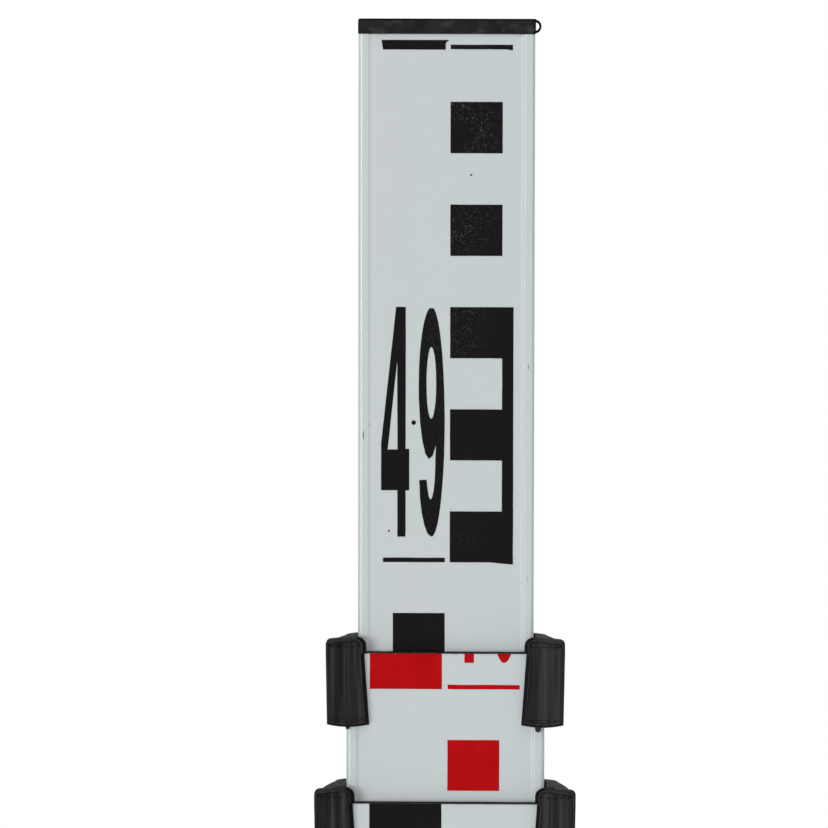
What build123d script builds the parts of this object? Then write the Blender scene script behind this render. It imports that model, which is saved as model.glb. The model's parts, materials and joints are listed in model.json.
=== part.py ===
"""Telescopic levelling staff with five sections, closed up as it is carried.

Five flat aluminium tubes slide inside one another and carry a metre of scale each. Section 1 is the
innermost and section 5 stands on the ground. A moulded collar guides each mouth, a moulded plug guides
each tail, and a sprung button in the tail snaps into a hole in the next tube when a section is drawn out.

Millimetres. The origin is the middle of the foot's underside, +Z runs up the staff, the graduated
front faces -Y, and +X is to the reader's right.
"""

import os
from math import atan2, degrees, sqrt

from build123d import *

# Sections
INNERMOST = 1
OUTERMOST = 5
METRE = 1000.0  # length of scale on each section
STEP = 29.3  # height of a closed section's top above the next one's, and of a tail plug
TOP_STEP = 120.9  # the same for section 1, which is left longer as a hand hold
TOP_MARGIN = {1: 3.2, 2: 7.0, 3: 5.8, 4: 5.8, 5: 5.8}  # tube above its last metre mark

# Tube profile
TUBE_WIDTH = 34.3  # section 1, outside
TUBE_DEPTH = 8.0  # section 1, outside
WALL = 1.1  # at the edge rims
RUN_GAP = 1.075  # open space between one tube and the next, on each side
TUBE_CORNER = 0.8
RIM_WIDTH = 2.45  # raised edge beside the printed panel, with its slope
RIM_HEIGHT = 0.3
RIM_SLOPE = 0.6  # width of the slope from rim to panel

# Clearances
FIT = 0.05  # between pieces that are fixed together
RUN = 0.3  # between pieces that slide
STOP_GAP = 0.1  # left at the stop when a section is fully out

# Moulded collar
SLEEVE = 12.0  # depth of its guide sleeve inside the tube's mouth
LIP = 0.2  # thickness over the tube's end
LIP_INSET = 0.15
PAD_HEIGHT = 17.5  # fluted pad in front of the tube
PAD_ABOVE = 3.5  # of that, above the tube's end
PAD_PROUD = 1.7  # how far it stands in front of the tube
PAD_BACK = 1.6  # how far it reaches behind the tube's front, beside the tube
FLANK_SLOPE = 0.7  # how far its inner flank and its heel slope in towards the front,
OUTER_SLOPE = 0.25  # its outer flank
HEAD_SLOPE = 0.3  # and its head
HEAD_LAP = 3.9  # how far the pad's head laps over the tube's front
HEAD_REACH = 4.05  # and stands out beside the tube
HEAD_DROP = 0.8  # how much lower the head is on the outside
HEAD_ROUND = 1.8
OUTER_ROUND = 1.1
WAIST_LAP = 3.5  # lap at the tube's end, below the head
HEEL_LAP = 4.5  # lap and reach along the lower edge
HEEL_REACH = 3.8
HEEL_BOW = 0.5
PAD_RIM = 0.3  # width of the smooth rim round the fluted field
FIELD_DEPTH = 0.2
FLUTES = 4
FLUTE_RADIUS = 1.0
FLUTE_DEPTH = 0.4  # below the rim
FLUTE_MARGIN = 0.25  # plain strip between the rim and the first flute, at the waist
RECESS = 1.3  # height of the recess that the flutes run up into
WEB_ABOVE = 2.7  # height of the grip behind the pad, above the tube's end,
WEB_FALL = 0.85  # and how much of it is lost towards the outside
WEB_FRONT = 3.0  # thickness of the web beside the tube, at the pad,
WEB_MIDDLE = 2.5  # at half depth
WEB_REAR = 0.3  # and at the rear corner
REAR_LAP = 3.0
REAR_PROUD = 1.0
BRIDGE_LAP = 2.6  # the grip's top reaches this far in over the tube's end
RELIEF_FRONT = 3.8  # moulding relief in the grip's top: its front and rear, behind the tube's front,
RELIEF_REAR = 6.7
RELIEF_REACH = 0.6  # its reach beside the tube
RELIEF_FLOOR = 0.9  # and its floor above the tube's end

# Set screws of the collars and the foot
SCREW_DIAMETER = 2.6
SLOT_WIDTH = 0.6
SLOT_DEPTH = 0.4
COLLAR_SCREW_DROP = 6.5  # below the tube's end
COLLAR_SCREW_INSET = 4.2  # behind the tube's front
COLLAR_SCREW_LENGTH = 1.5  # shorter than the grip is thick there, so that the screw is sunk
FOOT_SCREW_HEIGHT = 4.3
FOOT_SCREW_LENGTH = 2.2

# Tail plug
TAIL_SOLE = 2.0
TAIL_SKIRT = 17.0  # section 1 only: the other skirts end at the stop
PLUG_WALL = 1.2
PLUG_SIDE = 3.0  # thickness at the pins
PIN_HEIGHT = 8.0
PIN_DIAMETER = 2.5
STOP_RING = 12.0  # height of section 1's stop ring

# Lock
LOCK_HEIGHT = 11.0  # button's axis above the tail
BUTTON_DIAMETER = 8.0
BUTTON_PLAY = 0.3
DOME = 1.2  # height of the button's rounded end
FLANGE = 0.8  # thickness of the flange that keeps the button in,
FLANGE_LIP = 0.8  # and how far it stands out round the button
POP_OUT = 2.0  # how far the button springs out into the next tube's hole
TIP_GAP = 0.2  # from the button to the wall that holds it in
HOLE_PLAY = 0.5  # round the button in the next tube's hole
POCKET_PLAY = 0.4  # beside the flange
POCKET_TOWER = 2.0  # plug wall beside the pocket
LEAF_WIDTH = 6.0
LEAF_LENGTH = 15.0
LEAF_RISE = 2.2  # bow of the leaf spring, from pocket floor to button
LEAF_THICKNESS = 0.4
LEAF_GAP = 0.1  # from the leaf to the button
LEAF_PLAY = 0.5  # from each end of the leaf to the pocket

# Top cap
CAP_HEIGHT = 2.6
CAP_OVERHANG = 0.1
CAP_PLUG = 9.0
LOOP_RADIUS = 1.3
LOOP_REACH = 1.1  # beside the cap
LOOP_STRAND = 0.42
LOOP_WIDTH = 2.4

# Foot
FOOT_SOLE = 2.5
FOOT_FLOOR = 6.0  # section 4's tail rests here
FOOT_WALL = 2.5
FOOT_HEIGHT = 24.0
FOOT_CORNER = 3.5
FOOT_CHAMFER = 1.0
SOLE_CHAMFER = 0.8

FAR = 200.0  # longer than any cut needs


# Sizes and places that follow from the values above


def growth(n):
    """How much larger section n is than section 1, over both sides."""
    return 2 * (n - INNERMOST) * (WALL + RUN_GAP)


def width(n):
    return TUBE_WIDTH + growth(n)


def depth(n):
    return TUBE_DEPTH + growth(n)


def top(n):
    """Height of a closed section's tube end."""
    if n == OUTERMOST:
        return METRE + TOP_MARGIN[n]
    return top(n + 1) + (TOP_STEP if n == INNERMOST else STEP)


def tail(n):
    """Height of a closed section's lowest face: each tail stands on the plug of the next."""
    if n == OUTERMOST:
        return 0.0
    return FOOT_FLOOR + (OUTERMOST - 1 - n) * STEP


def tube_bottom(n):
    return FOOT_SOLE if n == OUTERMOST else tail(n) + TAIL_SOLE


def reach_out(n):
    """Height of a section's top above the next one's when it is drawn out, so that the scale runs on."""
    return METRE + TOP_MARGIN[n] - TOP_MARGIN[n + 1]


def travel(n):
    return reach_out(n) - (top(n) - top(n + 1))


def overlap(n):
    """Length that stays inside the next tube when a section is drawn out."""
    return top(n + 1) - tail(n) - travel(n)


def stop_height(n):
    """Height above the tail of the shoulder that meets the next collar's sleeve."""
    return overlap(n) - SLEEVE - STOP_GAP


def lock_hole(n):
    """Closed height of the hole in section n that takes the button of the section inside it."""
    return top(n) - overlap(n - 1) + LOCK_HEIGHT


def bore_side(n):
    return width(n) / 2 - WALL


def skirt_side(n):
    """Half width of what slides with section n inside the next tube."""
    return bore_side(n + 1) - RUN


# Shapes that several pieces share


def outer_face(n, grow=0.0):
    return RectangleRounded(width(n) + 2 * grow, depth(n) + 2 * grow, TUBE_CORNER + grow)


def bore_face(n, shrink=0.0):
    inset = 2 * (WALL + shrink)
    return Rectangle(width(n) - inset, depth(n) - inset)


def seat_face(n, grow):
    """Sharp-cornered opening round section n, for the mouldings that it sits in or slides through."""
    return Rectangle(width(n) + 2 * grow, depth(n) + 2 * grow)


def rise(face, low, high):
    """The face, lying at height 0, as a prism from low to high."""
    return Pos(0, 0, low) * extrude(face, amount=high - low)


def rod_x(radius, start, end, y, z):
    """A round rod along X."""
    rod = Cylinder(radius, abs(end - start), rotation=(0, 90, 0))
    return Pos((start + end) / 2, y, z) * rod


def rod_y(radius, start, end, z):
    """A round rod along Y on the staff's middle plane."""
    rod = Cylinder(radius, abs(end - start), rotation=(90, 0, 0))
    return Pos(0, (start + end) / 2, z) * rod


def on_both_sides(piece):
    return piece + mirror(piece, about=Plane.YZ)


def screw_holes(n, y, z):
    """Holes for two set screws in the moulding beside the tube."""
    return on_both_sides(rod_x(SCREW_DIAMETER / 2 + FIT, width(n) / 2, width(n), y, z))


def set_screws(n, length, y, z):
    """Two slotted screws that bear on the tube's sides."""
    seat = width(n) / 2
    screw = rod_x(SCREW_DIAMETER / 2, seat, seat + length, y, z)
    slot = Box(2 * SLOT_DEPTH, SCREW_DIAMETER + SLOT_DEPTH, SLOT_WIDTH)
    return on_both_sides(screw - Pos(seat + length, y, z) * slot)


# Tubes


def tube_face(n):
    """Flat tube with raised rims beside a sunk panel, front and back, and a plain bore."""
    half_panel = width(n) / 2 - RIM_WIDTH
    front = -depth(n) / 2
    panel = Polygon(
        (-half_panel - RIM_SLOPE, front),
        (half_panel + RIM_SLOPE, front),
        (half_panel, front + RIM_HEIGHT),
        (-half_panel, front + RIM_HEIGHT),
        align=None,
    )
    return outer_face(n) - panel - mirror(panel, about=Plane.XZ) - bore_face(n)


def tube(n):
    body = rise(tube_face(n), tube_bottom(n), top(n))
    if n > INNERMOST:
        radius = BUTTON_DIAMETER / 2 + HOLE_PLAY
        body -= rod_y(radius, 0, depth(n), lock_hole(n))
    if n < OUTERMOST:
        radius = BUTTON_DIAMETER / 2 + BUTTON_PLAY
        body -= rod_y(radius, 0, depth(n), tail(n) + LOCK_HEIGHT)
        body -= pin_holes(n, tail(n) + PIN_HEIGHT)
    if n == INNERMOST:
        body -= pin_holes(n, stop_ring_middle())
    return body


# Moulded collars


def pad_view(n, flank, outer, head):
    """Front view of the right-hand pad, its flanks and its head drawn in by so much.

    It has a rounded head that falls to the outside, a waist at the tube's end and a wider, bowed heel.
    """
    side = width(n) / 2
    high = top(n) + PAD_ABOVE - head
    heel = top(n) + PAD_ABOVE - PAD_HEIGHT + flank
    head_out = side + HEAD_REACH - outer
    head_in = side - HEAD_LAP + flank
    heel_out = (side + HEEL_REACH - outer, heel)
    heel_in = (side - HEEL_LAP + flank, heel)
    with BuildSketch() as view:
        with BuildLine():
            ThreePointArc(heel_in, ((heel_in[0] + heel_out[0]) / 2, heel - HEEL_BOW), heel_out)
            Polyline(
                heel_out,
                (head_out, top(n)),
                (head_out, high - HEAD_DROP),
                (head_in, high),
                (head_in, top(n) + LIP),
                (side - WAIST_LAP + flank, top(n)),
                heel_in,
            )
        make_face()
        fillet(view.vertices().group_by(Axis.X)[-1].sort_by(Axis.Y)[-1], OUTER_ROUND - head)
        fillet(view.vertices().sort_by(Axis.Y)[-1], HEAD_ROUND - head)
    return view.sketch


def facing(view, y):
    """A front view, set up at depth y."""
    return Plane.XZ.offset(-y) * view


def pad(n):
    """Fluted pad with sloping flanks."""
    tube_front = -depth(n) / 2
    front = tube_front - PAD_PROUD
    outline = pad_view(n, 0, 0, 0)
    shape = extrude(facing(outline, tube_front + PAD_BACK), amount=PAD_BACK)
    face = pad_view(n, FLANK_SLOPE, OUTER_SLOPE, HEAD_SLOPE)
    shape += loft([facing(outline, tube_front), facing(face, front)], ruled=True)
    return shape - flutes(n, front)


def flutes(n, front):
    """Sunk field inside the pad's rim, with round grooves that run up into a deeper recess.

    The grooves fan out towards the pad's inner edge.
    """
    field = pad_view(n, FLANK_SLOPE + PAD_RIM, OUTER_SLOPE + PAD_RIM, HEAD_SLOPE + PAD_RIM)
    start = field.bounding_box().max.Y - RECESS
    upper_end = field & Pos(0, start + FAR / 2) * Rectangle(FAR, FAR)
    cut = extrude(facing(field, front + FIELD_DEPTH), amount=FIELD_DEPTH)
    cut += extrude(facing(upper_end, front + FLUTE_DEPTH), amount=FLUTE_DEPTH)
    side = width(n) / 2
    first = side - WAIST_LAP + FLANK_SLOPE + PAD_RIM + FLUTE_MARGIN
    last = side + HEEL_REACH - OUTER_SLOPE - PAD_RIM - FLUTE_MARGIN
    length = start - top(n) - PAD_ABOVE + PAD_HEIGHT - FLANK_SLOPE - PAD_RIM
    groove = Cylinder(FLUTE_RADIUS, length, align=(Align.CENTER, Align.CENTER, Align.MAX))
    fan = degrees(atan2(HEEL_LAP - WAIST_LAP, PAD_HEIGHT - PAD_ABOVE))
    for i in range(FLUTES):
        share = (i + 0.5) / FLUTES
        place = Pos(first + share * (last - first), front - FLUTE_RADIUS + FLUTE_DEPTH, start)
        cut += place * Rot(0, fan * (1 - share), 0) * groove
    return cut


def web_face(n):
    """Plan of the right-hand grip behind its pad, filled in over the tube.

    The web runs back along the tube's side, thinner and thinner, and turns round the rear corner.
    """
    side = width(n) / 2
    front = -depth(n) / 2
    rear = depth(n) / 2
    corner_x = side - TUBE_CORNER
    corner_y = rear - TUBE_CORNER
    web_end = (side + WEB_REAR, corner_y)
    rear_start = (corner_x, rear + REAR_PROUD)
    turn = (TUBE_CORNER + (WEB_REAR + REAR_PROUD) / 2) * sqrt(0.5)
    inner = side - REAR_LAP
    with BuildSketch() as plan:
        with BuildLine():
            ThreePointArc((side + WEB_FRONT, front), (side + WEB_MIDDLE, 0), web_end)
            ThreePointArc(web_end, (corner_x + turn, corner_y + turn), rear_start)
            Polyline(rear_start, (inner, rear + REAR_PROUD), (inner, front), (side + WEB_FRONT, front))
        make_face()
    return plan.sketch


def web(n):
    """The right-hand grip behind its pad, filled in over the tube: its top falls to the outside."""
    low = top(n) + PAD_ABOVE - PAD_HEIGHT
    high = top(n) + WEB_ABOVE
    side = width(n) / 2
    outer = side + HEAD_REACH
    above = Polygon((side - REAR_LAP, high), (outer, high - WEB_FALL), (outer, high + FAR), align=None)
    return rise(web_face(n), low, high) - extrude(facing(above, 0), amount=FAR, both=True)


def grip(n):
    """The right-hand finger grip: the pad in front, and the web round the tube's edge behind it."""
    return pad(n) + web(n) - rise(outer_face(n, FIT), top(n) - FAR, top(n) + FAR)


def bridge(n):
    """What joins the right-hand grip to the lip over the tube's end."""
    over_end = Box(FAR, FAR, FAR, align=(Align.MIN, Align.CENTER, Align.MIN))
    return web(n) & Pos(width(n) / 2 - BRIDGE_LAP, 0, top(n)) * over_end


def relief(n):
    """Moulding relief in the right-hand grip's top, open towards the tube inside."""
    wide = BRIDGE_LAP + RELIEF_REACH
    cut = Box(wide, RELIEF_REAR - RELIEF_FRONT, FAR, align=(Align.MAX, Align.MIN, Align.MIN))
    corner = (width(n) / 2 + RELIEF_REACH, RELIEF_FRONT - depth(n) / 2, top(n) + RELIEF_FLOOR)
    return Pos(*corner) * cut


def collar(n):
    """One moulding: a guide sleeve in the tube's mouth, a thin lip over its end, a grip on each side."""
    passage = seat_face(n - 1, RUN)
    sleeve = rise(bore_face(n, FIT) - passage, top(n) - SLEEVE, top(n) + LIP)
    lip = rise(outer_face(n, -LIP_INSET) - passage, top(n), top(n) + LIP)
    body = sleeve + lip + on_both_sides(bridge(n) + grip(n) - relief(n))
    body -= rise(passage, top(n), top(n) + FAR)
    return body - screw_holes(n, *collar_screw_place(n))


def collar_screw_place(n):
    """Depth and height of the screws through the grips."""
    return COLLAR_SCREW_INSET - depth(n) / 2, top(n) - COLLAR_SCREW_DROP


def collar_screws(n):
    return set_screws(n, COLLAR_SCREW_LENGTH, *collar_screw_place(n))


# Moulded tails


def pin_holes(n, height):
    """Holes for two pins through what lies round the tube and through its walls."""
    start = bore_side(n) - FIT
    return on_both_sides(rod_x(PIN_DIAMETER / 2 + FIT, start, width(n + 1), 0, height))


def pins(n, height):
    """Two headless pins, flush with the tube's bore and with what they hold on it."""
    return on_both_sides(rod_x(PIN_DIAMETER / 2, bore_side(n), skirt_side(n) - FIT, 0, height))


def flange_radius():
    return BUTTON_DIAMETER / 2 + FLANGE_LIP


def pocket_floor(n):
    """The plane, ahead of the button, that its leaf spring bears on."""
    return button_front(n) - LEAF_RISE


def lock_pocket(n):
    """Space in the plug for the button's flange and its spring, open to the rear."""
    across = 2 * (flange_radius() + POCKET_PLAY)
    deep = depth(n) / 2 - pocket_floor(n)
    along = LEAF_LENGTH + 2 * LEAF_PLAY
    pocket = Box(across, deep, along, align=(Align.CENTER, Align.MIN, Align.CENTER))
    return Pos(0, pocket_floor(n), tail(n) + LOCK_HEIGHT) * pocket & inside_tube(n)


def tail_plug(n):
    """Plug in the tail with an outer skirt that guides it, cored out beside the lock's pocket."""
    low = tail(n)
    skirt = TAIL_SKIRT if n == INNERMOST else stop_height(n)
    glide = bore_face(n + 1, RUN)
    body = rise(glide, low, low + TAIL_SOLE)
    body += rise(glide - seat_face(n, FIT), low, low + skirt)
    body += rise(bore_face(n, FIT), low, low + STEP)
    body -= lock_pocket(n)
    body -= rod_y(BUTTON_DIAMETER / 2 + BUTTON_PLAY, pocket_floor(n), depth(n), low + LOCK_HEIGHT)
    core_start = flange_radius() + POCKET_PLAY + POCKET_TOWER
    core_end = bore_side(n) - PLUG_SIDE
    core_depth = depth(n) - 2 * (WALL + FIT + PLUG_WALL)
    core_low = low + 2 * TAIL_SOLE
    core = Box(core_end - core_start, core_depth, FAR, align=(Align.MIN, Align.CENTER, Align.MIN))
    body -= on_both_sides(Pos(core_start, 0, core_low) * core)
    return body - pin_holes(n, low + PIN_HEIGHT)


def inside_tube(n):
    return rise(bore_face(n, 0), tail(n), top(n))


def tail_pins(n):
    return pins(n, tail(n) + PIN_HEIGHT)


def stop_ring_middle():
    return tail(INNERMOST) + stop_height(INNERMOST) - STOP_RING / 2


def stop_ring():
    """Section 1's own stop and upper guide: it reaches further into the next tube than the others."""
    n = INNERMOST
    middle = stop_ring_middle()
    face = bore_face(n + 1, RUN) - seat_face(n, FIT)
    ring = rise(face, middle - STOP_RING / 2, middle + STOP_RING / 2)
    return ring - pin_holes(n, middle)


def stop_pins():
    return pins(INNERMOST, stop_ring_middle())


# Locks


def button_tip(n):
    """The button's end while the next tube's wall holds it in."""
    return depth(n) / 2 + RUN_GAP - TIP_GAP


def button_front(n):
    """The button's flange face that the spring bears on."""
    return depth(n) / 2 - WALL - POP_OUT - FLANGE


def lock_button(n):
    """Domed button with a flange that keeps it in the tube's wall."""
    tip = button_tip(n)
    front = button_front(n)
    stem = BUTTON_DIAMETER / 2
    shoulder = front + FLANGE
    with BuildSketch() as section:
        with BuildLine():
            Polyline(
                (0, tip),
                (0, front),
                (flange_radius(), front),
                (flange_radius(), shoulder),
                (stem, shoulder),
                (stem, tip - DOME),
            )
            dome = (stem * stem + DOME * DOME) / (2 * DOME)
            RadiusArc((stem, tip - DOME), (0, tip), -dome)
        make_face()
    button = revolve(section.sketch, axis=Axis.Y)
    return Pos(0, 0, tail(n) + LOCK_HEIGHT) * button


def lock_spring(n):
    """A bowed leaf of spring steel between the pocket's floor and the button."""
    floor = pocket_floor(n)
    crest = button_front(n) - LEAF_GAP
    middle = tail(n) + LOCK_HEIGHT
    half = LEAF_LENGTH / 2
    with BuildSketch(Plane.YZ) as section:
        with BuildLine():
            low = (floor, middle - half)
            high = (floor, middle + half)
            inner_low = (floor, middle - half + LEAF_THICKNESS)
            inner_high = (floor, middle + half - LEAF_THICKNESS)
            ThreePointArc(low, (crest, middle), high)
            Line(high, inner_high)
            ThreePointArc(inner_high, (crest - LEAF_THICKNESS, middle), inner_low)
            Line(inner_low, low)
        make_face()
    return extrude(section.sketch, amount=LEAF_WIDTH / 2, both=True)


# Ends of the staff


def top_cap():
    """Thin cap plugged into section 1, with a small moulded loop on its right-hand end."""
    n = INNERMOST
    low = top(n)
    plate = rise(outer_face(n, CAP_OVERHANG), low, low + CAP_HEIGHT)
    wall = bore_face(n, FIT) - bore_face(n, FIT + PLUG_WALL)
    plug = rise(wall, low - CAP_PLUG, low)
    ring = Circle(LOOP_RADIUS) - Circle(LOOP_RADIUS - LOOP_STRAND)
    middle = width(n) / 2 + CAP_OVERHANG + LOOP_REACH - LOOP_RADIUS
    loop = extrude(Plane.XZ * (Pos(middle, low + CAP_HEIGHT / 2) * ring), amount=LOOP_WIDTH / 2, both=True)
    return plate + plug + loop


def foot_face(grow):
    n = OUTERMOST
    return RectangleRounded(width(n) + 2 * grow, depth(n) + 2 * grow, FOOT_CORNER)


def foot_shoe():
    """Moulded shoe round the foot, with an inner block that section 4 comes down on."""
    n = OUTERMOST
    shoe = rise(foot_face(FOOT_WALL), 0, FOOT_HEIGHT)
    shoe = chamfer(shoe.faces().sort_by(Axis.Z)[-1].edges(), FOOT_CHAMFER)
    shoe = chamfer(shoe.faces().sort_by(Axis.Z)[0].edges(), SOLE_CHAMFER)
    shoe -= rise(outer_face(n, FIT), FOOT_SOLE, FOOT_HEIGHT + FAR)
    shoe += rise(bore_face(n, FIT), FOOT_SOLE, FOOT_FLOOR)
    return shoe - screw_holes(n, 0, FOOT_SCREW_HEIGHT)


def foot_screws():
    return set_screws(OUTERMOST, FOOT_SCREW_LENGTH, 0, FOOT_SCREW_HEIGHT)


def all_nodes():
    """Every piece of the staff by name."""
    nodes = {"top_cap": top_cap(), "foot_shoe": foot_shoe(), "foot_screws": foot_screws()}
    nodes["section_1_stop_ring"] = stop_ring()
    nodes["section_1_stop_pins"] = stop_pins()
    for n in range(INNERMOST, OUTERMOST + 1):
        name = f"section_{n}"
        nodes[f"{name}_tube"] = tube(n)
        if n > INNERMOST:
            nodes[f"{name}_collar"] = collar(n)
            nodes[f"{name}_collar_screws"] = collar_screws(n)
        if n < OUTERMOST:
            nodes[f"{name}_tail_plug"] = tail_plug(n)
            nodes[f"{name}_tail_pins"] = tail_pins(n)
            nodes[f"{name}_lock_button"] = lock_button(n)
            nodes[f"{name}_lock_spring"] = lock_spring(n)
    return nodes


def main():
    os.makedirs("parts", exist_ok=True)
    for name, piece in all_nodes().items():
        export_step(piece, f"parts/{name}.step")


if __name__ == "__main__":
    main()
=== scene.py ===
"""Looks of a telescopic levelling staff, closed up, seen from the front at its top end.

The five tubes, their collars and their fittings come from the frame. This script gives them their
finishes, prints the scales on the tubes as thin closed prisms of ink, adds the stubs of the collars'
moulding gates, gives the leaf springs of the locks meshes of their own, and sets up a plain white studio.

Metres, in the frame's own axes: +Z runs up the staff and the graduated front faces -Y.
"""

import json
import math
from typing import NamedTuple

import bmesh
import bpy
from mathutils import Matrix, Vector, noise
from mathutils.geometry import tessellate_polygon


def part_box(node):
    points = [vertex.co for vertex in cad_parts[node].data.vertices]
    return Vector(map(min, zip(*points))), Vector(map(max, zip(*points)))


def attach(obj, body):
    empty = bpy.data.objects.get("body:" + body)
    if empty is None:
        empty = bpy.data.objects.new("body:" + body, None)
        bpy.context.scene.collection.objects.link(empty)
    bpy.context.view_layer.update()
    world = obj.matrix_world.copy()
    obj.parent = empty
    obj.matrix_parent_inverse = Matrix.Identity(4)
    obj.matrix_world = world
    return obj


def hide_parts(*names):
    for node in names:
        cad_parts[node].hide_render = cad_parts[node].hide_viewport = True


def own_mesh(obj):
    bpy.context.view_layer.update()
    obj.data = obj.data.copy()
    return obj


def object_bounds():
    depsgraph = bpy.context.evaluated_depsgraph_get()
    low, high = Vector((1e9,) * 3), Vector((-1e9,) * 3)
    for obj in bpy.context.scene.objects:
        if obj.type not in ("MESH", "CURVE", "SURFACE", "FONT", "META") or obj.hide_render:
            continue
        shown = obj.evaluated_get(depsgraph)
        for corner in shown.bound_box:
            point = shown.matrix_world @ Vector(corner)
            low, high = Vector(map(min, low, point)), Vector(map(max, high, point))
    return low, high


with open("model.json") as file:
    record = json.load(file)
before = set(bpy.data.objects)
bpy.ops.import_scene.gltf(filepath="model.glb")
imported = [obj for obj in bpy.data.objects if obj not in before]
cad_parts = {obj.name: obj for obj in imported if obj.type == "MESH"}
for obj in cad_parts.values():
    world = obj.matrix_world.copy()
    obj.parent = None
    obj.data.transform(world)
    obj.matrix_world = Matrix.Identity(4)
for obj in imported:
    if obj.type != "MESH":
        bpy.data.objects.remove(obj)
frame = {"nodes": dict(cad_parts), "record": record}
cad_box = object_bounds()


class Pattern(NamedTuple):
    """Smooth noise of a finish, with its values from start to end spread over 0 to 1."""

    across: float  # size of its grains across the staff
    along: float  # and along it
    detail: float
    start: float
    end: float


class Relief(NamedTuple):
    """Fine bumps of a finish, and the radius that rounds the edges of what has it."""

    across: float  # size of the bumps across the staff
    along: float  # and along it
    depth: float
    edge: float = 0.0


MM = 0.001
SECTIONS = (1, 2, 3, 4, 5)  # from the innermost to the one on the ground
INNERMOST = SECTIONS[0]
LEFT, RIGHT = -1, 1  # ways along X
FRONT, BACK = -1, 1  # ways along Y

# Camera, as the photo was taken
CAMERA_PLACE = (35.55 * MM, -1600.0 * MM, 1291.33 * MM)
CAMERA_YAW = -1.5  # degrees, to the right
CAMERA_PITCH = 5.3975  # degrees, downwards
CAMERA_ROLL = 0.087  # degrees
CAMERA_LENS = 357.65  # mm, on a 36 mm sensor

# Print on a tube
METRE = 1000.0 * MM
DECIMETRE = 100.0 * MM
CENTIMETRE = 10.0 * MM
DECIMETRES = round(METRE / DECIMETRE)  # on each section
PANEL_SUNK = 0.3 * MM  # the printed panel lies this deep between the tube's rims
INK = 0.05 * MM  # thickness of the print
INK_ROOT = 0.03 * MM  # how deep the print is keyed into the panel
TOP_MARGIN = dict.fromkeys(SECTIONS, 5.8 * MM) | {1: 3.2 * MM, 2: 7.0 * MM}  # tube above its last mark
FOOT_LAP = 1.0 * MM  # section 5's print runs this far down behind the foot shoe
EDGE_STEP = 3.0 * MM  # longest straight run of a printed edge
EDGE_WAVE = 0.035 * MM  # unevenness of a printed edge
EDGE_WAVE_SIZE = 2.5 * MM
EDGE_SEED = 1  # without one, the noise that moves the edges differs from run to run
ARC_STEP = 18.0  # degrees between the points of an arc

# Scale on the front: each decimetre has an E and two squares in one column, a number in the other
PRINT_SHIFT = {  # off the tube's middle
    1: 0.29 * MM, 2: -0.11 * MM, 3: -0.12 * MM, 4: 0.1 * MM, 5: -0.05 * MM,
}
COLUMN_GAP = dict.fromkeys(SECTIONS, 1.1 * MM) | {1: 0.96 * MM}  # between the two columns
COLUMN_WIDTH = dict.fromkeys(SECTIONS, 14.1 * MM) | {1: 12.1 * MM}  # of numbers and lines
E_WIDTH = COLUMN_WIDTH | {1: 12.34 * MM}
E_BARS = (0, 2, 4)  # feet of the E's bars over its mark, in centimetres
E_HEIGHT = 5 * CENTIMETRE
SQUARE_FEET = (6 * CENTIMETRE, 8 * CENTIMETRE)  # over the mark
BAR_WIDTH = 10.14 * MM  # of squares, and of the E without its spine
UNDERLINE = 0.88 * MM  # thickness of the line
NUMBER_LOW = dict.fromkeys(SECTIONS, 5.0 * MM) | {2: 5.2 * MM, 4: 5.1 * MM}  # its foot over its mark
NUMBER_HEIGHT = 45.0 * MM
SMALLEST_NUMBER = 1.0 * MM  # a number with less than this to show is left out
DIGIT_LEFT = (-0.03, 0.574)  # the two digits' left edges, as shares of a column
DIGIT_WIDTH = 0.42  # share of a column
POINT_PLACE = (0.494, 0.497)  # the decimal point, as shares of the column and of a digit's height
POINT_RADIUS = 0.45 * MM
POINT_STEP = 30.0  # degrees between its corners

# Flaws in the print of section 1
TOP_LIFT = 0.22 * MM  # its last line is printed this much too high
TOP_BAR = (  # the smudged bar there, in mm from the inner end of its lower edge
    (0.0, -0.08), (0.0, 1.14), (0.10, 1.36), (0.54, 1.64), (0.44, 1.80), (-12.48, 1.78), (-12.16, -0.08),
)
LINE_DROOP = (0.2 * MM, 1.2 * MM)  # depth and length of that line's outer end, where the ink has run
E_DROOP = (0.42 * MM, 4.5 * MM)  # and of the foot of the first E
NO_DROOP = (0.0, 1.0 * MM)  # and of all other prints
INK_SPECKS = ((4.8, -24.2), (-11.1, -93.9))  # stray ink, in mm from the tube's middle and its last mark
INK_SPECK_RADIUS = 0.2 * MM
INK_SPECK_STEP = 45.0  # degrees between their corners

# Plain scale on the back, as seen from behind
BACK_STEP = 5.0 * MM
DECIMETRE_STEPS = round(DECIMETRE / BACK_STEP)
CENTIMETRE_STEPS = round(CENTIMETRE / BACK_STEP)
TICK_LEFT = -13.4 * MM
TICK = 0.7 * MM  # thickness
TICK_LENGTHS = {  # by how many steps lie between such ticks, longest first
    DECIMETRE_STEPS: 9.0 * MM, CENTIMETRE_STEPS: 6.5 * MM, 1: 4.0 * MM,
}
BACK_NUMBER_LEFT = -3.2 * MM
BACK_NUMBER_LOW = -4.0 * MM  # foot of a number from its mark
BACK_DIGIT = (4.4 * MM, 8.5 * MM)  # width and height
BACK_DIGIT_PITCH = 5.4 * MM
HOLE_REACH = 6.0 * MM  # the lock holes lie within this of the tube's middle
HOLE_MARGIN = 1.0 * MM  # between a hole and a number

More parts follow.
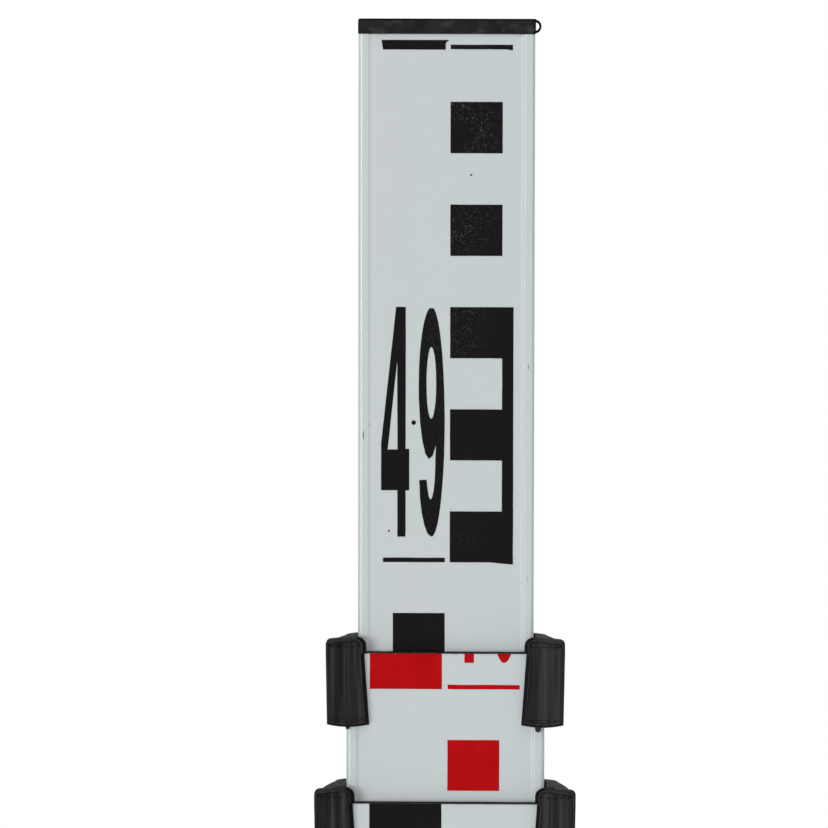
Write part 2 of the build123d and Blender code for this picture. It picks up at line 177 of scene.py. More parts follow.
# Stubs of the moulding's gates, one under each pad of a collar
GATES = {  # inset from the tube's side, radius, length
    RIGHT: (1.2 * MM, 0.55 * MM, 0.8 * MM),
    LEFT: (0.25 * MM, 0.35 * MM, 0.4 * MM),
}
GATE_FORWARD = 0.6 * MM  # their axes' distance in front of the tube
GATE_ROOT = 0.8 * MM  # how deep they are rooted in the pad
GATE_SIDES = 12
GATE_TIP = -80.0  # degrees that the tip curves in, before its small flat end
GATE_TIP_STEP = 20.0

# What the finishes share
OCCLUSION_SAMPLES = 8
BEVEL_SAMPLES = 4
EDGE_OPENNESS = (0.80, 0.50)  # seen from inside the piece, on open faces and on full edges
CREVICE_OPENNESS = (0.92, 0.52)  # seen from outside, on open faces and deep in grooves
FLANK_FACING = (0.70, 0.30)  # how far a face looks forwards or back, on fronts and on full flanks
DOT_CORE = 0.5  # share of a dot's radius within which it is full
DOT_PICK_CORE = 0.9  # share of the cells with a dot whose dot is full
BLOT_CORE = 0.4  # share of a blot's radii within which it is full

# Enamel of the tubes, with its colours linear as all are here
ENAMEL_COOL = (0.527, 0.578, 0.586, 1.0)
ENAMEL_WARM = (0.547, 0.582, 0.584, 1.0)
ENAMEL_TONE = Pattern(45 * MM, 160 * MM, 3.0, 0.35, 0.65)  # from cool to warm
ENAMEL_SPECK = (0.16, 0.16, 0.15, 1.0)
SPECK_SPACING = 24 * MM
SPECK_RADIUS = 0.28 * MM
SPECK_SHARE = 0.35  # share of the places that have a speck
ENAMEL_SCUFF = (0.25, 0.27, 0.27, 1.0)
SCUFF_REACH = 0.5 * MM  # from an edge
SCUFF_BREAKS = Pattern(2.5 * MM, 5 * MM, 3.0, 0.58, 0.66)
CHIPS = (  # in section 1's rims: mm across, mm from its last mark, half length in mm, share of colour
    (-16.1, -75.1, 1.1, 1.0),
    (16.05, -61.6, 0.7, 0.7),
    (16.0, -103.2, 0.8, 0.4),
    (-15.0, -72.95, 0.25, 0.6),
)
CHIP_RADIUS = 0.2 * MM
CHIP_DEPTH = 2.0 * MM  # reach of its colour from the tube's front
ENAMEL_IOR = 1.5
ENAMEL_SPECULAR = 0.5
ENAMEL_SHEEN = Pattern(6 * MM, 6 * MM, 4.0, 0.3, 0.7)
ENAMEL_ROUGHNESS = (0.14, 0.20)
ENAMEL_PEEL = Relief(0.9 * MM, 0.9 * MM, 0.002 * MM, 0.24 * MM)

# Inks
BLACK_INK = (0.0072, 0.0072, 0.0072, 1.0)
BLACK_INK_ROUGHNESS = (0.42, 0.60)
INK_DUST = (0.11, 0.11, 0.108, 1.0)  # on the black ink
DUST_HEIGHTS = (cad_box[1].z - 70 * MM, cad_box[1].z - 15 * MM)  # from little dust to most
DUST_SHARES = (0.2, 1.0)  # of the dust, at these heights
DUST_MIDDLE = 1.5 * MM  # to the right of the staff's middle
DUST_BREADTH = (10 * MM, 3 * MM)  # distances from there, from no dust to most
DUST_PATCHES = Pattern(9 * MM, 9 * MM, 2.0, 0.36, 0.56)
DUST_GRAINS = Pattern(0.26 * MM, 0.26 * MM, 1.0, 0.60, 0.72)
RED_INK = (0.40, 0.0022, 0.0040, 1.0)
RED_INK_THIN = (0.46, 0.0040, 0.0062, 1.0)
RED_INK_UNEVEN = Pattern(5 * MM, 5 * MM, 4.0, 0.32, 0.72)  # from full to thin
RED_INK_ROUGHNESS = (0.40, 0.55)
INK_SPECULAR = 0.03
INK_SHEEN = Pattern(2 * MM, 2 * MM, 2.0, 0.3, 0.7)
INK_RELIEF = Relief(0.5 * MM, 0.5 * MM, 0.004 * MM)

# Black plastic
PLASTIC_DARK = (0.0150, 0.0150, 0.0150, 1.0)
PLASTIC_LIGHT = (0.0245, 0.0245, 0.024, 1.0)
PAD_FLOW_AND_SHEEN = Pattern(1.4 * MM, 80 * MM, 3.0, 0.36, 0.66)  # streaks from dark to light: flow lines that also stand in for painted sheen streaks
CAP_FLOW = Pattern(4.0 * MM, 4.0 * MM, 3.0, 0.36, 0.66)
PLASTIC_RUBBED = (0.046, 0.046, 0.045, 1.0)
PAD_RUBBED = Pattern(1.12 * MM, 48 * MM, 3.0, 0.50, 0.70)  # patches
CAP_RUBBED = Pattern(3.2 * MM, 2.4 * MM, 3.0, 0.50, 0.70)
SIDE_BIAS_RAMP = (-10 * MM, 10 * MM)  # from the left-hand side to the right-hand one, over which the patches' noise is shifted
PAD_PAINTED_RIGHT_LIGHT = 0.08  # added to the patches' noise on the right: painted light, that makes the pads lighter on their right-hand side
CAP_RUBBED_MORE = -0.04
PLASTIC_WEAR_AND_HIGHLIGHT = (0.055, 0.055, 0.053, 1.0)
CREST_REACH = 0.25 * MM  # of the wear and painted highlight on edges and crests
CREST_WEAR_AND_HIGHLIGHT = Pattern(1.2 * MM, 5 * MM, 2.0, 0.36, 0.64)
CREST_SHARES = (0.1, 0.9)  # of the wear and painted highlight, from least to most
# Painted shade in the plastic's grooves and corners, darkest where they are most closed in
PLASTIC_CREVICE_SHADE = (0.0025, 0.0025, 0.0025, 1.0)
CREVICE_SHADE_REACH = 1.4 * MM
CREVICE_SHADE_SHARE = 0.75
# Painted shade: faces of the plastic that look sideways, up or down are painted near-black
PLASTIC_FLANK_SHADE = (0.005, 0.005, 0.0052, 1.0)
FLANK_RADIUS = 0.15 * MM  # rounds the edge between a flank and a front
FLANK_SHADE_SHARE = 0.8  # how much of the painted shade the flanks and tops take
PAD_SPECULAR = 0.003
CAP_SPECULAR = 0.0
PLASTIC_SHEEN = Pattern(1.5 * MM, 1.5 * MM, 3.0, 0.3, 0.7)
PLASTIC_ROUGHNESS = (0.46, 0.62)
PLASTIC_RELIEF = Relief(0.35 * MM, 0.35 * MM, 0.010 * MM, 0.2 * MM)

# Plated steel
STEEL_DARK = (0.46, 0.46, 0.45, 1.0)
STEEL_LIGHT = (0.62, 0.62, 0.60, 1.0)
STEEL_TONE = Pattern(0.8 * MM, 0.8 * MM, 3.0, 0.3, 0.7)  # from dark to light
STEEL_SHEEN = Pattern(0.5 * MM, 0.5 * MM, 3.0, 0.3, 0.7)
STEEL_ROUGHNESS = (0.28, 0.42)
TURNING_MARKS = Relief(0.3 * MM, 0.06 * MM, 0.003 * MM, 0.15 * MM)

# Studio
WHITE = (1.0, 1.0, 1.0, 1.0)
FLOOR = (0.90, 0.90, 0.90, 1.0)
FLOOR_ROUGHNESS = 0.9
FLOOR_RADIUS = 4.5
FLOOR_SIDES = 128
FLOOR_FADE = (1.2, 4.2)  # the floor turns into the white background between these radii
AMBIENT = 0.475
AMBIENT_SIDES = 0.05  # from the left and the right, where black screens stand
SCREENS = (0.25, 0.75)  # how far sideways a direction points where they begin, and where they are full
SUNS = {  # direction that the light comes from, strength, angular size in degrees
    "left_light": ((-0.50, -0.86, 0.02), 1.45, 24.0),
    "right_light": ((0.50, -0.86, 0.02), 0.15, 16.0),
    "top_light": ((0.25, -0.55, 0.80), 0.85, 60.0),
    "back_light": ((0.0, 0.86, 0.50), 1.5, 40.0),
}


def put_in_scene(name, data):
    """A new object of that name, with that mesh, light or camera."""
    made = bpy.data.objects.new(name, data)
    bpy.context.scene.collection.objects.link(made)
    return made


# Finishes


class Nodes:
    """Short ways to add nodes to a tree of them."""

    def __init__(self, tree):
        self.tree = tree

    def fill(self, node, inputs):
        """The node, with each of these inputs linked to a socket or set to a value."""
        for key, value in inputs.items():
            if isinstance(value, bpy.types.NodeSocket):
                self.tree.links.new(value, node.inputs[key])
            else:
                node.inputs[key].default_value = value
        return node

    def node(self, kind, inputs=None, **settings):
        made = self.tree.nodes.new("ShaderNode" + kind)
        for key, value in settings.items():
            setattr(made, key, value)
        return self.fill(made, inputs or {})

    def math(self, operation, *values):
        return self.node("Math", dict(enumerate(values)), operation=operation).outputs[0]

    def times(self, first, *others):
        for other in others:
            first = self.math("MULTIPLY", first, other)
        return first

    def length(self, vector):
        return self.node("VectorMath", {0: vector}, operation="LENGTH").outputs["Value"]

    def between(self, value, start, end, low=0.0, high=1.0):
        """low where the value is at start, high where it is at end."""
        inputs = {"Value": value, "From Min": start, "From Max": end, "To Min": low, "To Max": high}
        return self.node("MapRange", inputs).outputs[0]

    def seen_directly(self):
        """1 for rays from the camera, and for those that mirror or pass through something, else 0."""
        path = self.node("LightPath").outputs
        seen = path["Is Camera Ray"]
        for other in ("Is Glossy Ray", "Is Transmission Ray"):
            seen = self.math("MAXIMUM", seen, path[other])
        return seen


class Finish(Nodes):
    """A material in the making. Its place is that of a surface point in the frame, at rest."""

    def __init__(self, name, constants):
        self.material = bpy.data.materials.new(name)
        self.material.use_nodes = True
        super().__init__(self.material.node_tree)
        self.shader = self.fill(self.tree.nodes["Principled BSDF"], constants)
        self.place = self.node("TexCoord").outputs["Object"]

    def axes(self):
        return self.node("SeparateXYZ", {0: self.place}).outputs

    def mix(self, factor, a, b):
        """a where the factor is 0, b where it is 1, on the node's sockets for colours."""
        return self.node("Mix", {0: factor, 6: a, 7: b}, data_type="RGBA").outputs[2]

    def noise(self, across, along, detail=2.0):
        """Smooth noise about 0.5 with grains of that size across the staff and along it."""
        scale = (1 / across, 1 / across, 1 / along)
        place = self.node("Mapping", {"Vector": self.place, "Scale": scale}).outputs[0]
        return self.node("TexNoise", {"Vector": place, "Scale": 1.0, "Detail": detail}).outputs["Fac"]

    def pattern(self, shape, low=0.0, high=1.0, more=None):
        """A pattern that runs from low to high, with more added to its noise if given."""
        value = self.noise(shape.across, shape.along, shape.detail)
        if more is not None:
            value = self.math("ADD", value, more)
        return self.between(value, shape.start, shape.end, low, high)

    def dots(self, spacing, radius, share):
        """Small round dots on the staff's faces, on that share of a grid of cells."""
        x, y, z = self.axes()
        flat = self.node("CombineXYZ", {0: self.math("ADD", x, y), 1: z}).outputs[0]
        cells = self.node("TexVoronoi", {"Vector": flat, "Scale": 1 / spacing}, voronoi_dimensions="2D")
        reach = radius / spacing
        near = self.between(cells.outputs["Distance"], reach, DOT_CORE * reach)
        pick = self.node("SeparateColor", {0: cells.outputs["Color"]}).outputs[0]
        return self.times(near, self.between(pick, share, DOT_PICK_CORE * share))

    def blot(self, centre, radii):
        """1 in the middle of an ellipsoid, 0 outside it, with a soft edge."""
        inputs = {"Vector": self.place, "Location": centre, "Scale": radii}
        away = self.node("Mapping", inputs, vector_type="TEXTURE").outputs[0]
        return self.between(self.length(away), 1.0, BLOT_CORE)

    def openness(self, reach, inside):
        """How much of what is round a point, within that reach, is open: 1 is all of it."""
        settings = {"samples": OCCLUSION_SAMPLES, "inside": inside, "only_local": True}
        return self.node("AmbientOcclusion", {"Distance": reach}, **settings).outputs["AO"]

    def edges(self, reach):
        """1 on edges and crests that stand out, 0 on open faces."""
        return self.between(self.openness(reach, True), *EDGE_OPENNESS)

    def crevices(self, reach):
        """1 deep in grooves and corners, 0 on open faces."""
        return self.between(self.openness(reach, False), *CREVICE_OPENNESS)

    def rounded(self, radius):
        """The surface's direction, with its edges rounded to that radius."""
        return self.node("Bevel", {"Radius": radius}, samples=BEVEL_SAMPLES).outputs[0]

    def flanks(self, radius):
        """1 on faces that look sideways, up or down, 0 on those that look to the front or the back."""
        forward = self.node("SeparateXYZ", {0: self.rounded(radius)}).outputs[1]
        return self.between(self.math("ABSOLUTE", forward), *FLANK_FACING)

    def bumps(self, relief):
        inputs = {"Height": self.noise(relief.across, relief.along), "Distance": relief.depth}
        if relief.edge:
            inputs["Normal"] = self.rounded(relief.edge)
        return self.node("Bump", inputs).outputs[0]

    def shaded(self, colour, sheen, roughness, relief):
        """The material with this colour and relief, and a roughness between two values in a pattern."""
        inputs = {
            "Base Color": colour,
            "Roughness": self.pattern(sheen, *roughness),
            "Normal": self.bumps(relief),
        }
        self.fill(self.shader, inputs)
        return self.material


def enamel():
    """Satin stove enamel: faint orange peel, slow changes of tone, a few specks, scuffs and chips."""
    made = Finish("enamel", {"IOR": ENAMEL_IOR, "Specular IOR Level": ENAMEL_SPECULAR})
    colour = made.mix(made.pattern(ENAMEL_TONE), ENAMEL_COOL, ENAMEL_WARM)
    specks = made.dots(SPECK_SPACING, SPECK_RADIUS, SPECK_SHARE)
    colour = made.mix(specks, colour, ENAMEL_SPECK)
    scuffs = made.times(made.edges(SCUFF_REACH), made.pattern(SCUFF_BREAKS))
    colour = made.mix(scuffs, colour, ENAMEL_SCUFF)
    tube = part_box(f"section_{INNERMOST}_tube")
    for across, height, half, share in CHIPS:
        centre = (across * MM, tube[0].y, tube[1].z - TOP_MARGIN[INNERMOST] + height * MM)
        chip = made.blot(centre, (CHIP_RADIUS, CHIP_DEPTH, half * MM))
        colour = made.mix(made.times(chip, share), colour, ENAMEL_SPECK)
    return made.shaded(colour, ENAMEL_SHEEN, ENAMEL_ROUGHNESS, ENAMEL_PEEL)


def black_ink():
    """Matt screen-printed black with dust on it in patches, most near the staff's top and its middle."""
    made = Finish("black_ink", {"Specular IOR Level": INK_SPECULAR})
    x, _, z = made.axes()
    near_top = made.between(z, *DUST_HEIGHTS, *DUST_SHARES)
    aside = made.math("ABSOLUTE", made.math("SUBTRACT", x, DUST_MIDDLE))
    near_middle = made.between(aside, *DUST_BREADTH)
    dust = made.times(made.pattern(DUST_PATCHES), near_middle, near_top, made.pattern(DUST_GRAINS))
    colour = made.mix(dust, BLACK_INK, INK_DUST)
    return made.shaded(colour, INK_SHEEN, BLACK_INK_ROUGHNESS, INK_RELIEF)


def red_ink():
    """Screen-printed red, a little uneven in thickness."""
    made = Finish("red_ink", {"Specular IOR Level": INK_SPECULAR})
    colour = made.mix(made.pattern(RED_INK_UNEVEN), RED_INK, RED_INK_THIN)
    return made.shaded(colour, INK_SHEEN, RED_INK_ROUGHNESS, INK_RELIEF)


def black_plastic(name, specular, flow_and_sheen, rubbed, right_side_bias):
    """Moulded plastic: flow streaks that on the pads also paint in sheen, rubbed patches with a painted
    lighter right-hand side on the pads, wear and painted highlights on crests, and painted shade in
    grooves and on flanks and tops.
    """
    made = Finish(name, {"Specular IOR Level": specular})
    # Flow streaks, which on the pads also paint in streaks of sheen
    colour = made.mix(made.pattern(flow_and_sheen), PLASTIC_DARK, PLASTIC_LIGHT)
    # On the pads this paints the right-hand side lighter: painted light
    more = made.between(made.axes()[0], *SIDE_BIAS_RAMP, 0.0, right_side_bias)
    colour = made.mix(made.pattern(rubbed, more=more), colour, PLASTIC_RUBBED)
    # Wear on edges and crests, which also paints in their thin highlight lines
    crests = made.times(made.edges(CREST_REACH), made.pattern(CREST_WEAR_AND_HIGHLIGHT, *CREST_SHARES))
    colour = made.mix(crests, colour, PLASTIC_WEAR_AND_HIGHLIGHT)
    # Painted shade in grooves and corners
    crevice_shade = made.times(made.crevices(CREVICE_SHADE_REACH), CREVICE_SHADE_SHARE)
    colour = made.mix(crevice_shade, colour, PLASTIC_CREVICE_SHADE)
    # Painted shade on faces that look sideways, up or down, standing in for the shade they fall in
    flanks = made.times(made.flanks(FLANK_RADIUS), FLANK_SHADE_SHARE)
    colour = made.mix(flanks, colour, PLASTIC_FLANK_SHADE)
    return made.shaded(colour, PLASTIC_SHEEN, PLASTIC_ROUGHNESS, PLASTIC_RELIEF)


def steel():
    """Plated steel with fine turning marks."""
    made = Finish("steel", {"Metallic": 1.0})
    colour = made.mix(made.pattern(STEEL_TONE), STEEL_DARK, STEEL_LIGHT)
    return made.shaded(colour, STEEL_SHEEN, STEEL_ROUGHNESS, TURNING_MARKS)


FINISHES = {
    "enamelled_aluminium": enamel(),
    "black_plastic": black_plastic("black_plastic", PAD_SPECULAR, PAD_FLOW_AND_SHEEN, PAD_RUBBED, PAD_PAINTED_RIGHT_LIGHT),
    "steel": steel(),
}
CAP_FINISH = black_plastic("cap_plastic", CAP_SPECULAR, CAP_FLOW, CAP_RUBBED, CAP_RUBBED_MORE)
INKS = {"black": black_ink(), "red": red_ink()}


def finish_nodes():
    """Gives every node of the frame the finish of its material slot, and the cap one of its own."""
    for part in frame["record"]["subparts"]:
        finish = CAP_FINISH if part["node"] == "top_cap" else FINISHES[part["material_slot"]]
        for slot in frame["nodes"][part["node"]].material_slots:
            slot.material = finish


# Digits, drawn in a box one wide and one high as loops: an outline, then its holes


def arc(centre, radii, start, end, step=ARC_STEP):
    """Points of an ellipse's arc from one angle to another, in degrees."""
    count = max(2, round(abs(end - start) / step))
    angles = [math.radians(start + (end - start) * i / count) for i in range(count + 1)]
    return [(centre[0] + radii[0] * math.cos(a), centre[1] + radii[1] * math.sin(a)) for a in angles]


def ellipse(centre, radii, step=ARC_STEP):
    """Points of a whole ellipse, each of them once."""
    return arc(centre, radii, 0, 360, step)[:-1]


def zero():
    upper = arc((0.5, 0.66), (0.5, 0.34), 0, 180, step=7.5)
    lower = arc((0.5, 0.34), (0.5, 0.34), 180, 360, step=7.5)
    inner = arc((0.5, 0.66), (0.18, 0.17), 0, 180) + arc((0.5, 0.34), (0.18, 0.17), 180, 360)
    return [upper + lower, inner]


def one():
    return [[(0.36, 0), (0.70, 0), (0.70, 1), (0.46, 1), (0.10, 0.86), (0.10, 0.71), (0.36, 0.81)]]


def two():
    top = arc((0.5, 0.70), (0.48, 0.30), 180, 0)
    slope = [(0.93, 0.54), (0.46, 0.178), (1, 0.178), (1, 0), (0, 0), (0, 0.13), (0.60, 0.56)]
    return [top + slope + arc((0.5, 0.70), (0.16, 0.122), 0, 180)]


def three():
    outer = arc((0.5, 0.73), (0.48, 0.27), 180, -42) + arc((0.5, 0.29), (0.5, 0.29), 48, -180)
    lower = arc((0.5, 0.29), (0.18, 0.112), 180, 360) + arc((0.5, 0.315), (0.18, 0.115), 0, 90)
    stub = [(0.34, 0.43), (0.34, 0.595)]
    upper = arc((0.5, 0.70), (0.16, 0.105), 270, 360) + arc((0.5, 0.73), (0.16, 0.092), 0, 180)
    return [outer + lower + stub + upper]


def four():
    right = [(0.57, 1), (0.94, 1), (0.94, 0.383), (1.08, 0.383), (1.08, 0.202), (0.94, 0.202), (0.94, 0)]
    left = [(0.625, 0), (0.625, 0.202), (0, 0.202), (0, 0.408)]
    return [right + left, [(0.25, 0.38), (0.625, 0.38), (0.615, 0.766)]]


def five():
    head = [(0.04, 0.42), (0.06, 1), (0.94, 1), (0.94, 0.83), (0.36, 0.83), (0.345, 0.63)]
    outer = arc((0.5, 0.33), (0.5, 0.31), 90, -90) + arc((0.5, 0.29), (0.5, 0.27), 265, 180)
    inner = arc((0.5, 0.29), (0.18, 0.112), 180, 360) + arc((0.5, 0.34), (0.18, 0.13), 0, 155)
    return [head + outer + inner]


def six():
    return [[(1 - x, 1 - y) for x, y in loop] for loop in nine()]


def seven():
    right = [(0, 1), (1, 1), (1, 0.85), (0.63, 0.42), (0.53, 0)]
    left = [(0.19, 0), (0.29, 0.42), (0.66, 0.83), (0, 0.83)]
    return [right + left]


def eight():
    upper = arc((0.5, 0.745), (0.47, 0.255), -52, 232)
    lower = arc((0.5, 0.275), (0.5, 0.275), 128, 412)
    holes = [ellipse((0.5, 0.745), (0.17, 0.13)), ellipse((0.5, 0.275), (0.18, 0.14))]
    return [upper + lower] + holes


def nine():
    left = arc((0.5, 0.66), (0.5, 0.34), 180, 100, step=8.0)
    right = arc((0.5, 0.5), (0.5, 0.5), 81, -90, step=9.0)
    hook = arc((0.5, 0.27), (0.475, 0.27), 252, 185)
    inner = arc((0.465, 0.36), (0.19, 0.198), 214, 360)
    bowl = arc((0.42, 0.66), (0.42, 0.322), 306, 190)
    return [left + right + hook + inner + bowl, ellipse((0.485, 0.67), (0.188, 0.157))]


DIGITS = {
    "0": zero(), "1": one(), "2": two(), "3": three(), "4": four(),
    "5": five(), "6": six(), "7": seven(), "8": eight(), "9": nine(),
}


def digit_shape(digit, left, low, wide, high):
    """A digit's loops in a box of that place and size."""
    return [[(left + u * wide, low + v * high) for u, v in loop] for loop in DIGITS[digit]]


# Printed scales


class Print:
    """Ink on one face of one section, gathered shape by shape and built as one mesh of closed prisms."""

    def __init__(self, section, way):
        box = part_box(f"section_{section}_tube")
        self.section = section
        self.way = way
        self.panel = (box[0].y if way == FRONT else box[1].y) - way * PANEL_SUNK
        self.last_mark = box[1].z - TOP_MARGIN[section]
        self.low = self.last_mark - METRE
        if section == SECTIONS[-1]:
            self.low = max(self.low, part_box("foot_shoe")[1].z - FOOT_LAP)
        self.high = box[1].z
        self.points = []
        self.faces = []

    def add(self, loops):
        """A flat shape as a reader of the panel sees it: an outline, then its holes, as (x, z) points."""
        clipped = (clip(loop, self.low, self.high) for loop in loops)
        loops = [wavy(loop) for loop in clipped if len(loop) > 2]
        if not loops:
            return
        base = len(self.points)
        flat = [point for loop in loops for point in loop]
        count = len(flat)
        self.points += [(-self.way * x, self.panel + self.way * INK, z) for x, z in flat]
        self.points += [(-self.way * x, self.panel - self.way * INK_ROOT, z) for x, z in flat]
        for triangle in tessellate_polygon([[Vector((x, z, 0)) for x, z in loop] for loop in loops]):
            a, b, c = (base + i for i in triangle)
            self.faces += [(a, b, c), (c + count, b + count, a + count)]
        start = base
        for loop in loops:
            for i in range(len(loop)):
                a = start + i
                b = start + (i + 1) % len(loop)
                self.faces.append((a, b, b + count, a + count))
            start += len(loop)

    def build(self):
        name = f"section_{self.section}_scale_{'front' if self.way == FRONT else 'back'}"
        mesh = bpy.data.meshes.new(name)
        mesh.from_pydata(self.points, [], self.faces)
        make_normals_point_outwards(mesh)
        mesh.materials.append(INKS["red" if self.section % 2 == 0 else "black"])
        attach(put_in_scene(name, mesh), f"section_{self.section}")


def make_normals_point_outwards(mesh):
    work = bmesh.new()
    work.from_mesh(mesh)
    bmesh.ops.recalc_face_normals(work, faces=work.faces)
    work.to_mesh(mesh)
    work.free()


def clip(loop, low, high):
    """The part of a loop between two heights."""
    for keep, level in ((1, low), (-1, high)):
        kept = []
        for i, here in enumerate(loop):
            there = loop[(i + 1) % len(loop)]
            above = keep * (here[1] - level)
            next_above = keep * (there[1] - level)
            if above >= 0:
                kept.append(here)
            if (above > 0 > next_above) or (above < 0 < next_above):
                share = above / (above - next_above)
                kept.append((here[0] + share * (there[0] - here[0]), level))
        loop = kept
    return loop


def wavy(loop):
    """The loop with its long edges divided and all its points a little out of place."""
    uneven = []
    for i, here in enumerate(loop):
        there = loop[(i + 1) % len(loop)]
        parts = max(1, math.ceil(math.dist(here, there) / EDGE_STEP))
        for k in range(parts):
            x = here[0] + (there[0] - here[0]) * k / parts
            z = here[1] + (there[1] - here[1]) * k / parts
            place = Vector((x, z, 0)) / EDGE_WAVE_SIZE
            shift = noise.noise_vector(place) * EDGE_WAVE
            uneven.append((x + shift.x, z + shift.y))
    return uneven


def rectangle(left, right, low, high):
    return [(left, low), (right, low), (right, high), (left, high)]


def columns(section):
    """The two printed columns as (inner edge, way outwards, width), left one first."""
    wide = COLUMN_WIDTH[section]
    shift = PRINT_SHIFT[section]
    gap = COLUMN_GAP[section]
    return [(shift - gap / 2, LEFT, wide), (shift + gap / 2, RIGHT, wide)]


def letter_e(column, low, wide, droop):
    """Three bars joined by a spine on the column's outer side."""
    inner, way, _ = column
    bar = inner + way * BAR_WIDTH
    outer = inner + way * wide
    points = [(outer, low - droop[0]), (outer - way * droop[1], low)]
    for k in E_BARS:
        base = low + k * CENTIMETRE
        points += [(inner, base), (inner, base + CENTIMETRE)]
        if k < E_BARS[-1]:
            points += [(bar, base + CENTIMETRE), (bar, base + 2 * CENTIMETRE)]
    return points + [(outer, low + E_HEIGHT)]


def line(column, low, droop):
    """The thin line under a number."""
    inner, way, wide = column
    outer = inner + way * wide
    points = [(inner, low), (outer - way * droop[1], low), (outer, low - droop[0])]
    return points + [(outer, low + UNDERLINE), (inner, low + UNDERLINE)]


def square(column, low):
    inner, way, _ = column
    return rectangle(inner, inner + way * BAR_WIDTH, low, low + CENTIMETRE)


def number(column, value, low):
    """Two tall digits, of metres and decimetres, and the point between them: a list of shapes."""
    inner, way, wide = column
    left = min(inner, inner + way * wide)
    metres, decimetres = divmod(value, DECIMETRES)
    shapes = []
    for digit, place in zip(f"{metres}{decimetres}", DIGIT_LEFT):
        shapes.append(digit_shape(digit, left + place * wide, low, DIGIT_WIDTH * wide, NUMBER_HEIGHT))
    point = (left + POINT_PLACE[0] * wide, low + POINT_PLACE[1] * NUMBER_HEIGHT)
    shapes.append([ellipse(point, (POINT_RADIUS, POINT_RADIUS), POINT_STEP)])
    return shapes


def last_decimetre(section):
    """What the scale reads at a section's last mark, in decimetres."""
    return DECIMETRES * (len(SECTIONS) + 1 - section)


def print_front(section):
    """A metre of E-pattern scale, and what shows of the next decimetre above it."""
    scale = Print(section, FRONT)
    for k in range(DECIMETRES + 1):
        value = last_decimetre(section) - k
        mark = scale.last_mark - k * DECIMETRE
        pattern, text = columns(section) if value % 2 == 0 else reversed(columns(section))
        topmost = section == INNERMOST and k == 0
        if topmost:
            mark += TOP_LIFT
            scale.add([[(pattern[0] + x * MM, mark + z * MM) for x, z in TOP_BAR]])
        else:
            droop = E_DROOP if section == INNERMOST and k == 1 else NO_DROOP
            scale.add([letter_e(pattern, mark, E_WIDTH[section], droop)])
        if k > 0:
            for foot in SQUARE_FEET:
                scale.add([square(pattern, mark + foot)])
        if value > 0:
            scale.add([line(text, mark, LINE_DROOP if topmost else NO_DROOP)])
            foot = mark + NUMBER_LOW[section]
            if scale.high - foot > SMALLEST_NUMBER:
                for shape in number(text, value, foot):
                    scale.add(shape)
    if section == INNERMOST:
        for x, z in INK_SPECKS:
            place = (x * MM, scale.last_mark + z * MM)
            scale.add([ellipse(place, (INK_SPECK_RADIUS, INK_SPECK_RADIUS), INK_SPECK_STEP)])
    scale.build()


def hole_heights(section):
    """Heights of the corners round the holes in a tube's back."""
    corners = frame["nodes"][f"section_{section}_tube"].data.vertices
    return [v.co.z for v in corners if v.co.y > 0 and abs(v.co.x) < HOLE_REACH]


def print_back(section):
    """Ticks down the left-hand side, with the centimetres at each decimetre, clear of the lock holes."""
    scale = Print(section, BACK)
    holes = hole_heights(section)
    wide, high = BACK_DIGIT
    for k in range(round(METRE / BACK_STEP) + 1):
        mark = scale.last_mark - k * BACK_STEP
        length = next(length for every, length in TICK_LENGTHS.items() if k % every == 0)
        scale.add([rectangle(TICK_LEFT, TICK_LEFT + length, mark - TICK / 2, mark + TICK / 2)])
        foot = mark + BACK_NUMBER_LOW
        top = foot + high
        blocked = any(foot - HOLE_MARGIN < z < top + HOLE_MARGIN for z in holes)
        if k % DECIMETRE_STEPS == 0 and not blocked and scale.low < foot and top < scale.high:
            decimetres = last_decimetre(section) - k // DECIMETRE_STEPS
            centimetres = round(decimetres * DECIMETRE / CENTIMETRE)
            for i, digit in enumerate(str(centimetres)):
                scale.add(digit_shape(digit, BACK_NUMBER_LEFT + i * BACK_DIGIT_PITCH, foot, wide, high))
    scale.build()


# Moulded trim


def gate_stub(section, way):
    """The broken-off gate under one pad: a short round stub with a rounded tip."""
    inset, radius, length = GATES[way]
    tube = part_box(f"section_{section}_tube")
    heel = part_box(f"section_{section}_collar")[0].z
    x = (tube[1].x if way == RIGHT else tube[0].x) - way * inset
    y = tube[0].y - GATE_FORWARD
    tip = arc((0, heel - length + radius), (radius, radius), 0, GATE_TIP, GATE_TIP_STEP)
    work = bmesh.new()
    turns = [2 * math.pi * i / GATE_SIDES for i in range(GATE_SIDES)]
    rings = []
    for r, z in [(radius, heel + GATE_ROOT)] + tip:
        rings.append([work.verts.new((x + r * math.cos(a), y + r * math.sin(a), z)) for a in turns])
    for upper, lower in zip(rings, rings[1:]):
        for i in range(GATE_SIDES):
            j = (i + 1) % GATE_SIDES
            work.faces.new((upper[i], upper[j], lower[j], lower[i])).smooth = True
    work.faces.new(rings[0])
    work.faces.new(rings[-1])
    bmesh.ops.recalc_face_normals(work, faces=work.faces)
    name = f"section_{section}_gate_stub_{'right' if way == RIGHT else 'left'}"
    mesh = bpy.data.meshes.new(name)
    work.to_mesh(mesh)
    work.free()
    mesh.materials.append(FINISHES["black_plastic"])
    stub = put_in_scene(name, mesh)
    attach(stub, f"section_{section}")


# Locks


def leaf_spring(section):
    """The leaf behind a lock button, which flattens against its pocket as the button is pressed, copied
    with its own mesh in place of the frame's node; the copy is not bent.
    """
    node = f"section_{section}_lock_spring"
    leaf = put_in_scene(f"section_{section}_lock_leaf", frame["nodes"][node].data.copy())
    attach(leaf, f"section_{section}")
    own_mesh(leaf)
    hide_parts(node)


# Studio


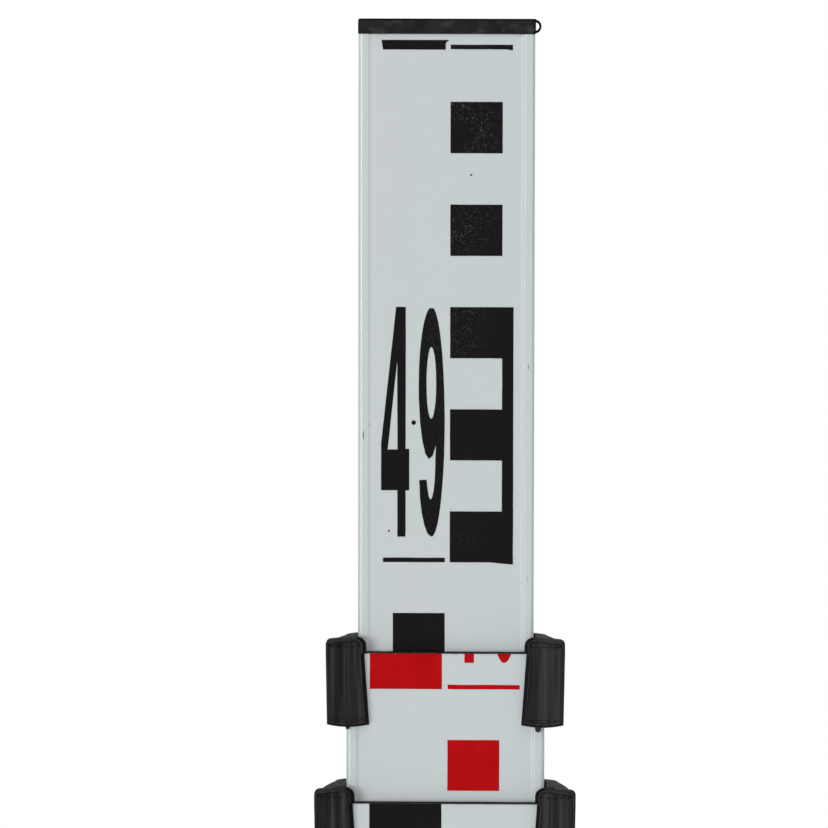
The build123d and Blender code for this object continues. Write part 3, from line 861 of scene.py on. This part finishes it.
def aim_camera():
    yaw, pitch, roll = (math.radians(a) for a in (CAMERA_YAW, CAMERA_PITCH, CAMERA_ROLL))
    ahead = Vector((math.sin(yaw) * math.cos(pitch), math.cos(yaw) * math.cos(pitch), -math.sin(pitch)))
    level = Vector((math.cos(yaw), -math.sin(yaw), 0.0))
    upright = level.cross(ahead)
    right = level * math.cos(roll) + upright * math.sin(roll)
    up = right.cross(ahead)
    data = bpy.data.cameras.new("camera")
    data.lens = CAMERA_LENS
    camera = put_in_scene("camera", data)
    turn = Matrix((right, up, -ahead)).transposed().to_4x4()
    camera.matrix_world = Matrix.Translation(CAMERA_PLACE) @ turn
    bpy.context.scene.camera = camera


def light_studio():
    for name, (origin, strength, angle) in SUNS.items():
        data = bpy.data.lights.new(name, "SUN")
        data.energy = strength
        data.angle = math.radians(angle)
        sun = put_in_scene(name, data)
        sun.rotation_euler = Vector(origin).to_track_quat("Z", "Y").to_euler()


def white_world():
    """A white background over an ambient light that is weaker from the sides."""
    world = bpy.data.worlds.new("studio")
    bpy.context.scene.world = world
    world.use_nodes = True
    made = Nodes(world.node_tree)
    direction = made.node("TexCoord").outputs["Generated"]
    sideways = made.math("ABSOLUTE", made.node("SeparateXYZ", {0: direction}).outputs["X"])
    strength = made.between(sideways, *SCREENS, AMBIENT, AMBIENT_SIDES)
    ambient = made.fill(made.tree.nodes["Background"], {"Color": WHITE, "Strength": strength})
    shown = made.node("Background", {"Color": WHITE, "Strength": 1.0})
    shaders = {0: made.seen_directly(), 1: ambient.outputs[0], 2: shown.outputs[0]}
    mixed = made.node("MixShader", shaders).outputs[0]
    made.fill(made.tree.nodes["World Output"], {"Surface": mixed})


def lay_floor():
    """A pale round floor that fades into the white background."""
    bpy.ops.mesh.primitive_circle_add(vertices=FLOOR_SIDES, radius=FLOOR_RADIUS, fill_type="NGON")
    floor = bpy.context.object
    floor.name = "floor"
    constants = {"Base Color": FLOOR, "Roughness": FLOOR_ROUGHNESS, "Specular IOR Level": 0.0}
    made = Finish("floor", constants)
    fade = made.between(made.length(made.place), *FLOOR_FADE)
    glow = made.node("Emission", {"Color": WHITE, "Strength": 1.0})
    shaders = {0: made.times(fade, made.seen_directly()), 1: made.shader.outputs[0], 2: glow.outputs[0]}
    mixed = made.node("MixShader", shaders).outputs[0]
    made.fill(made.tree.nodes["Material Output"], {"Surface": mixed})
    floor.data.materials.append(made.material)


noise.seed_set(EDGE_SEED)
finish_nodes()
for section in SECTIONS:
    print_front(section)
    print_back(section)
for section in SECTIONS[1:]:
    for side in GATES:
        gate_stub(section, side)
for section in SECTIONS[:-1]:
    leaf_spring(section)
aim_camera()
light_studio()
white_world()
lay_floor()
bpy.context.scene.view_settings.view_transform = "Standard"
